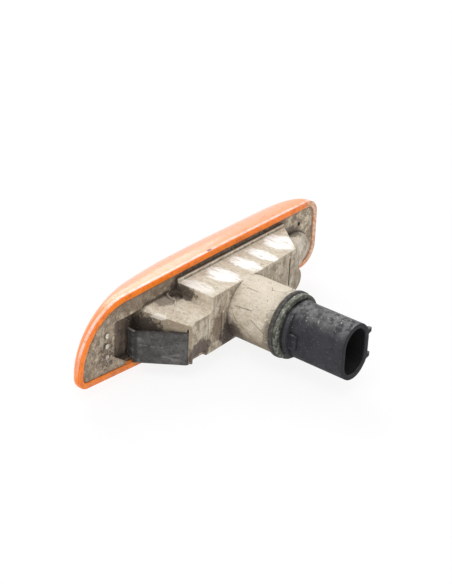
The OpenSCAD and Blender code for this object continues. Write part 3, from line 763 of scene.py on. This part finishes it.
@dataclass(frozen=True)
class DustyRubber:
    """Nitrile rubber ring, moulded: matt black-brown, with beige dirt rubbed into it."""

    ground: str = "#3B3835"

    def make(self) -> Material:
        """Makes the material.

        Returns:
            The new material.
        """
        s = Skin("nitrile_rubber_dusty", self.ground)
        s.paint("#2C2A2A", s.blotches(1.8, 0.5), 0.7)
        s.paint("#625E53", s.blotches(1.2, 0.56, 0.04, seed=2.5), 0.6)
        s.paint("#8E8470", s.zone(Along.Y, -33.9, -33.3), s.blotches(1.5, 0.5, 0.05, seed=4.5), 0.8)
        s.emboss(s.clouds(0.4, detail=3), 0.05)
        return s.finish(Roughness=0.72, IOR=1.52)


@dataclass(frozen=True)
class StampedBrass:
    """Brass strip, stamped: bright where rubbed, dull brown elsewhere."""

    ground: str = "#B08D4A"

    def make(self) -> Material:
        """Makes the material.

        Returns:
            The new material.
        """
        s = Skin("brass_stamped", self.ground)
        s.paint("#7F6536", s.blotches(1.5), 0.7)
        return s.finish(Metallic=1.0, Roughness=s.share(s.clouds(1.5), -0.5, 1.8))


@dataclass(frozen=True)
class BlownGlass:
    """Clear soda-lime glass, blown and pinched: almost colourless."""

    ground: str = "#EEF4F4"

    def make(self) -> Material:
        """Makes the material.

        Returns:
            The new material.
        """
        s = Skin("soda_glass_blown", self.ground)
        s.paint("#DFEAE9", s.blotches(2.0), 0.7)
        return s.finish(Roughness=0.03, IOR=1.52, Transmission_Weight=0.95)


@dataclass(frozen=True)
class DrawnWire:
    """Drawn metal wire: bright, with faint stains."""

    name: str = "nickel_wire_drawn"
    ground: str = "#B5B3AD"

    def make(self) -> Material:
        """Makes the material.

        Returns:
            The new material.
        """
        s = Skin(self.name, self.ground)
        s.paint("#85827C", s.blotches(0.6), 0.6)
        return s.finish(Metallic=1.0, Roughness=0.3)


@dataclass(frozen=True)
class WhitePaper:
    """White paper sweep, smooth: white where it is seen, with the object's faint shadow on it."""

    ground: str = "#F7F7F7"
    shown_white: float = 0.86

    def make(self) -> Material:
        """Makes the material.

        Returns:
            The new material.
        """
        s = Skin("paper_sweep_white", self.ground)
        s.paint("#F2F2F1", s.blotches(40.0), 0.5)
        lit = add(s.tree, "ShaderNodeBsdfDiffuse", {"Color": s.colour})
        glow = add(s.tree, "ShaderNodeEmission", {"Color": WHITE, "Strength": 1.0})
        shown = s.all_of(looked_at(s.tree), self.shown_white)
        mix = add(s.tree, "ShaderNodeMixShader", {0: shown, 1: lit, 2: glow})
        add(s.tree, "ShaderNodeOutputMaterial", {0: mix})
        return s.material


# ---- Pieces ----


@dataclass
class LensShell:
    """The amber lens: a straight rim round a crowned front, with a hollow of the same form.

    Sizes are in millimetres. The sweep is the share of the crown's height lost at the swept end, from
    sweep_from off the middle. The ledge and the inner rim are where the backplate sits, and along,
    across and rise are the powers that shape the crown.
    """

    left: float = 66.0
    right: float = 60.0
    top: float = 15.3
    bottom: float = 15.4
    crown: float = 14.6
    rim: float = 1.6
    wall: float = 2.2
    sweep: float = 0.4
    sweep_from: float = 8.0
    ledge: float = 1.0
    seat: float = 2.4
    inner_rim: float = 0.6
    edge_r: float = 0.35
    across: float = 0.7
    along: float = 1.05
    rise: float = 0.9
    middle_z: float = 0.5
    outer_rings: int = 56
    inner_rings: int = 40
    top_degrees: float = 89.0
    crowding: float = 1.3
    crown_finish: AmberAcrylicCrown = AmberAcrylicCrown()
    rim_finish: AmberAcrylicRim = AmberAcrylicRim()

    @property
    def mid(self) -> float:
        """X of the lens's middle."""
        return (self.right - self.left) / 2

    def corners(self) -> list[tuple[float, float, float]]:
        """The outline's corners.

        Returns:
            X, Z and radius of each, anticlockwise seen from behind.
        """
        return [
            (self.right, self.top, 6.0),
            (self.mid + 7, self.top + 0.6, 1200.0),
            (-self.left, self.top, 22.0),
            (-self.left - 0.3, 4 - self.bottom, 4.5),
            (self.mid - 3, -self.bottom - 0.3, 400.0),
            (self.right + 0.3, 5 - self.bottom, 8.0),
        ]

    def outline(self, arc_steps: int = 26, line_step: float = 1.6) -> tuple[np.ndarray, np.ndarray]:
        """The rim's outline and its outward normals.

        Each corner is an arc that touches its two edges: its centre lies on the corner's bisector,
        and its normals turn evenly from one edge's normal to the next. Straight stretches between
        arcs are divided evenly.

        Args:
            arc_steps: Steps in each corner's arc.
            line_step: Longest step on a straight stretch, in millimetres.

        Returns:
            Points and unit normals, each one row of X and Z.
        """
        corners = self.corners()
        points, normals = [], []
        for i, (x, z, r) in enumerate(corners):
            b = np.array([x, z])
            a = np.array(corners[i - 1][:2])
            c = np.array(corners[(i + 1) % len(corners)][:2])
            u, w = (a - b) / np.linalg.norm(a - b), (c - b) / np.linalg.norm(c - b)
            half = math.acos(float(u @ w)) / 2
            centre = b + (u + w) / np.linalg.norm(u + w) * r / math.sin(half)
            first = b + u * r / math.tan(half) - centre
            start = math.atan2(first[1], first[0])
            turn = start + (math.pi - 2 * half) * np.linspace(0, 1, arc_steps + 1)
            normal = np.stack([np.cos(turn), np.sin(turn)], 1)
            points.append(centre + r * normal)
            normals.append(normal)
        full_points, full_normals = [], []
        for i in range(len(points)):
            end, begin = points[i][-1], points[(i + 1) % len(points)][0]
            count = max(1, int(np.linalg.norm(begin - end) / line_step))
            share = np.linspace(0, 1, count + 1)[1:-1, None]
            full_points += [points[i], end + (begin - end) * share]
            full_normals += [normals[i], np.repeat(normals[i][-1:], len(share), 0)]
        return np.concatenate(full_points), np.concatenate(full_normals)

    def lowering(self, x: np.ndarray) -> np.ndarray:
        """Lowers the crown by a smooth step down towards the swept end.

        Args:
            x: Places along X.

        Returns:
            Share of the crown's height left at each.
        """
        start = self.mid - self.sweep_from
        t = np.clip((start - x) / (self.left + start), 0, 1)
        return 1 - self.sweep * t * t * (3 - 2 * t)

    def crowned(self, outline: np.ndarray, base: float, crown: float, angles: np.ndarray) -> np.ndarray:
        """Rings of a crowned surface over an outline.

        The ring at angle a is the outline drawn towards the middle by a power of cos(a) along each
        axis, and raised by a power of sin(a) of the crown's height, lowered towards the swept end.

        Args:
            outline: The outline, one row of X and Z.
            base: Y of the crown's foot.
            crown: Height of the crown over its foot.
            angles: Angle of each ring in degrees, 0 at the foot and 90 at the top.

        Returns:
            Places of shape rings by points by 3.
        """
        a = np.radians(angles)[:, None]
        cos, sin = np.clip(np.cos(a), 0, 1), np.sin(a)
        x = self.mid + (outline[None, :, 0] - self.mid) * cos**self.along
        z = self.middle_z + (outline[None, :, 1] - self.middle_z) * cos**self.across
        y = base + crown * self.lowering(x) * sin**self.rise
        return np.stack([x, y, z], -1)

    def straight(self, outline: np.ndarray, normal: np.ndarray, path: np.ndarray) -> np.ndarray:
        """Rings that follow the outline.

        Args:
            outline: The outline, one row of X and Z.
            normal: Its outward normals, one row each.
            path: Each ring's distance inwards from the outline and its Y, one row each.

        Returns:
            Places of shape rings by points by 3.
        """
        insets, ys = path.T
        xz = outline[None] - normal[None] * insets[:, None, None]
        y = np.broadcast_to(ys[:, None], xz.shape[:2])
        return np.stack([xz[..., 0], y, xz[..., 1]], -1)

    def build(self) -> Object:
        """Builds the shell as one closed surface, from the outer crown's top to the inner one's.

        Returns:
            The new piece.
        """
        outline, normal = self.outline()
        falling = 1 - np.linspace(0, 1, self.outer_rings) ** self.crowding
        outer = self.crowned(outline, self.rim, self.crown, self.top_degrees * falling)
        quarter = np.linspace(0, math.pi / 2, 6)
        e = self.edge_r
        wall_path = np.concatenate(
            [
                [[0, self.rim * 0.5], [0, e]],
                np.stack([e * (1 - np.cos(quarter)), e * (1 - np.sin(quarter))], 1)[1:],
                [[self.wall * 0.5, 0]],
                np.stack([self.wall - e + e * np.sin(quarter), e * (1 - np.cos(quarter))], 1),
                [[self.wall, self.seat], [self.wall + self.ledge, self.seat]],
            ]
        )
        sides = self.straight(outline, normal, wall_path)
        inset = outline - normal * (self.wall + self.ledge)
        foot = self.seat + self.inner_rim
        inner_crown = self.crown + self.rim - foot - self.wall
        rising = np.linspace(0, 1, self.inner_rings) ** self.crowding
        inner = self.crowned(inset, foot, inner_crown, self.top_degrees * rising)
        rings = np.concatenate([outer, sides, inner])
        count, around = rings.shape[:2]
        tops = [[self.mid, y, self.middle_z] for y in (self.rim + self.crown, foot + inner_crown)]
        points = np.concatenate([rings.reshape(-1, 3), tops])
        first_fan = fan_faces(len(points) - 2, 0, around, turned=True)
        last_fan = fan_faces(len(points) - 1, (count - 1) * around, around)
        tris = np.concatenate([first_fan, last_fan])
        piece = mesh_piece("lens_shell", points, ring_faces(count, around), tris)
        band = np.arange(count - 1)
        on_rim = (band >= len(outer) - 1) & (band < len(outer) + len(sides) - 1)
        slots = [np.repeat(on_rim.astype(np.int32), around), np.zeros(len(tris), np.int32)]
        piece.data.polygons.foreach_set("material_index", np.concatenate(slots))
        materials = [self.crown_finish.make(), self.rim_finish.make()]
        return ride(piece, Body.LAMP, materials, "lens")


@dataclass
class HousingMoulding:
    """The beige moulding: backplate, light box, clip block and bulb tube."""

    edge: float = 0.35
    finish: DustyAbs = DustyAbs()

    def rounded(self, p: np.ndarray) -> np.ndarray:
        """Outside edges behind the plate, without the thin walls at the clip's slot and hook's root.

        Args:
            p: Points in millimetres, one row each.

        Returns:
            Whether each point's edges are rounded.
        """
        outside = (p[:, 1] < -0.3) & ((np.hypot(p[:, 0], p[:, 2]) > 10.5) | (p[:, 1] > -17))
        slot = (p[:, 0] < -27) & (p[:, 1] < -13) & (p[:, 2] < 3.5)
        hook_root = (p[:, 0] > 32) & (p[:, 1] > -11) & (p[:, 2] < 2)
        return outside & ~slot & ~hook_root

    def build(self) -> Object:
        """Rounds the CAD shape's edges and dresses it."""
        piece = softened("housing", "housing_moulding", self.edge, self.rounded)
        return ride(piece, Body.LAMP, [self.finish.make()], "housing")


@dataclass
class SpringClip:
    """The bent steel strip."""

    edge: float = 0.12
    finish: BlackenedSpringSteel = BlackenedSpringSteel()

    def rounded(self, p: np.ndarray) -> np.ndarray:
        """Every edge of the strip."""
        return np.full(len(p), True)

    def build(self) -> Object:
        """Rounds the CAD shape's edges and dresses it."""
        piece = softened("spring_clip", "spring_clip_strip", self.edge, self.rounded, 2)
        return ride(piece, Body.CLIP, [self.finish.make()], "spring_clip")


@dataclass
class SealRing:
    """The rubber ring between the tube and the holder's flange: a rounded section, turned."""

    outer: float = 11.9
    inner: float = 8.6
    front: float = -33.3
    back: float = -35.1
    round_r: float = 0.5
    around: int = 144
    finish: DustyRubber = DustyRubber()

    def section(self) -> np.ndarray:
        """The ring's section: a rectangle whose corners are quarter circles.

        Returns:
            Points, one row of radius and Y each.
        """
        r = self.round_r
        a = np.linspace(0, math.pi / 2, 7) + np.arange(4)[:, None] * math.pi / 2
        out, front = self.outer - r, self.front - r
        centre_r = np.array([out, self.inner + r, self.inner + r, out])[:, None]
        centre_y = np.array([front, front, self.back + r, self.back + r])[:, None]
        return np.stack([centre_r + r * np.cos(a), centre_y + r * np.sin(a)], -1).reshape(-1, 2)

    def build(self) -> Object:
        """Turns the section about the tube's axis into a closed ring.

        Returns:
            The new piece.
        """
        section = self.section()
        turn = np.linspace(0, 2 * math.pi, self.around, endpoint=False)
        r, y = section[None, :, 0], section[None, :, 1]
        x, z = r * np.cos(turn)[:, None], r * np.sin(turn)[:, None]
        rings = np.stack([x, np.broadcast_to(y, x.shape), z], -1)
        piece = mesh_piece("seal_ring", rings.reshape(-1, 3), ring_faces(*rings.shape[:2], closed=True))
        return ride(piece, Body.HOLDER, [self.finish.make()], "holder_seal")


@dataclass
class BulbHolder:
    """The charcoal holder, its contacts and the bulb in it."""

    edge: float = 0.25
    finish: CharcoalNylon = CharcoalNylon()

    def rounded(self, p: np.ndarray) -> np.ndarray:
        """All edges, apart from those at the rear ring's face, the latch ramps and the finger rib.

        Args:
            p: Points in millimetres, one row each.

        Returns:
            Whether each point's edges are rounded.
        """
        ring = (p[:, 1] > -39.5) & (p[:, 1] < -39.3)
        ramps = (p[:, 0] > 6.5) & (p[:, 1] < -56)
        rib = (p[:, 0] < -6) & (p[:, 1] < -39) & (p[:, 1] > -43)
        return ~(ring | ramps | rib)

    def dress_node(self, node: str, material: Material) -> None:
        """Gives a CAD node that keeps its shape a finished material.

        Args:
            node: The node's name.
            material: Its new material.
        """
        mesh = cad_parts[node].data
        mesh.materials.clear()
        mesh.materials.append(material)
        log.info("node %s dressed in %s", node, material.name)

    def build(self) -> Object:
        """Rounds the holder's edges and dresses it and the small pieces in it.

        Returns:
            The holder's piece.
        """
        piece = softened("bulb_holder", "bulb_holder_moulding", self.edge, self.rounded)
        brass, glass = StampedBrass().make(), BlownGlass().make()
        nickel, tungsten = DrawnWire().make(), DrawnWire("tungsten_wire_drawn", "#8A8782").make()
        for node, material in {
            "contact_upper": brass,
            "contact_lower": brass,
            "bulb_glass": glass,
            "filament": tungsten,
            "lead_wire_left": nickel,
            "lead_wire_right": nickel,
        }.items():
            self.dress_node(node, material)
        return ride(piece, Body.HOLDER, [self.finish.make()], "bulb_holder")


# ---- Stage ----


@dataclass(frozen=True)
class SoftLamp:
    """A square lamp that points at the object: angles in degrees, lengths in metres, power in watts."""

    name: str
    azimuth: float
    elevation: float
    far: float
    side: float
    power: float


@dataclass
class Stage:
    """The floor, lamps, world and camera.

    The camera's angles are in degrees, its distance and target in millimetres. The floor's height is
    in millimetres, and its radii and the rise of its edge are in metres.
    """

    azimuth: float = -51.9
    elevation: float = 28.66
    roll: float = 2.68
    distance: float = 561.4
    target: tuple = (7.7, 0.0, -3.7)
    focal_px: float = 1600.0
    long_side_px: float = 584.0
    sensor_mm: float = 36.0
    clip_m: tuple = (0.01, 50)
    floor_z: float = -16.4
    hole_m: float = 0.02
    flat_m: float = 1.2
    reach_m: float = 2.6
    rise_m: float = 0.5
    floor_rings: int = 40
    floor_around: int = 72
    daylight: float = 0.62
    lamps: tuple[SoftLamp, ...] = (
        SoftLamp("key", -70, 62, 0.75, 0.5, 2.3),
        SoftLamp("back", 150, 36, 0.8, 0.5, 3.4),
        SoftLamp("fill", -25, 18, 0.9, 0.6, 1.0),
    )

    def direction(self, azimuth: float, elevation: float) -> np.ndarray:
        """Unit vector from the object towards a place at that azimuth and elevation."""
        a, e = math.radians(azimuth), math.radians(elevation)
        return np.array([math.sin(a) * math.cos(e), -math.cos(a) * math.cos(e), math.sin(e)])

    def camera(self) -> None:
        """Places the camera where the photograph was taken from."""
        data = bpy.data.cameras.new("camera")
        data.sensor_width = self.sensor_mm
        data.lens = self.sensor_mm * self.focal_px / self.long_side_px
        data.clip_start, data.clip_end = self.clip_m
        camera = placed("camera", data)
        back = self.direction(self.azimuth, self.elevation)
        a, r = math.radians(self.azimuth), math.radians(self.roll)
        flat = np.array([math.cos(a), math.sin(a), 0.0])
        upright = np.cross(back, flat)
        right = math.cos(r) * flat + math.sin(r) * upright
        up = -math.sin(r) * flat + math.cos(r) * upright
        place = (np.array(self.target) + back * self.distance) * MM
        rows = np.eye(4)
        rows[:3, 0], rows[:3, 1], rows[:3, 2], rows[:3, 3] = right, up, back, place
        camera.matrix_world = Matrix(rows.tolist())
        bpy.context.scene.camera = camera

    def light(self, lamp: SoftLamp) -> None:
        """Adds one lamp and turns it to the object.

        Args:
            lamp: The lamp to add.
        """
        data = bpy.data.lights.new(lamp.name, "AREA")
        data.size, data.energy, data.shape = lamp.side, lamp.power, "SQUARE"
        back = Vector(self.direction(lamp.azimuth, lamp.elevation).tolist())
        place = Matrix.Translation(Vector(self.target) * MM + back * lamp.far)
        turn = (-back).to_track_quat("-Z", "Y").to_matrix().to_4x4()
        placed(lamp.name, data).matrix_world = place @ turn

    def floor(self) -> None:
        """A pale round floor whose far edge turns up with the fourth power of the radius."""
        radius = np.linspace(self.hole_m, self.reach_m, self.floor_rings)
        turn = np.linspace(0, 2 * math.pi, self.floor_around, endpoint=False)
        r, t = np.meshgrid(radius, turn, indexing="ij")
        past_flat = np.clip((r - self.flat_m) / (self.reach_m - self.flat_m), 0, 1)
        z = self.floor_z * MM + self.rise_m * past_flat**4
        rings = np.stack([r * np.cos(t), r * np.sin(t), z], -1).reshape(-1, 3)
        points = np.concatenate([rings, [[0, 0, self.floor_z * MM]]]) / MM
        tris = fan_faces(len(points) - 1, 0, self.floor_around)
        quads = ring_faces(self.floor_rings, self.floor_around)[:, ::-1]
        floor = mesh_piece("floor", points, quads, tris)
        floor.data.materials.append(WhitePaper().make())

    def world(self) -> None:
        """White where the camera, a reflection or glass looks out, and a plain level for lighting."""
        world = bpy.data.worlds.new("studio")
        bpy.context.scene.world = world
        world.use_nodes = True
        tree = world.node_tree
        tree.nodes.clear()
        levels = {"Value": looked_at(tree), "To Min": self.daylight, "To Max": 1.0}
        level = add(tree, "ShaderNodeMapRange", levels)
        sky = add(tree, "ShaderNodeBackground", {"Color": WHITE, "Strength": level})
        add(tree, "ShaderNodeOutputWorld", {0: sky})

    def build(self) -> None:
        """Sets the whole stage."""
        self.camera()
        self.floor()
        self.world()
        for lamp in self.lamps:
            self.light(lamp)
        bpy.context.scene.view_settings.view_transform = "Standard"


def main() -> None:
    """Builds the stage and every piece in order, and reports each."""
    logging.basicConfig(level=logging.INFO, format="%(message)s")
    Stage().build()
    for assembly in (LensShell(), HousingMoulding(), SpringClip(), SealRing(), BulbHolder()):
        piece = assembly.build()
        log.info("built %s", piece.name)


if __name__ == "__main__":
    main()
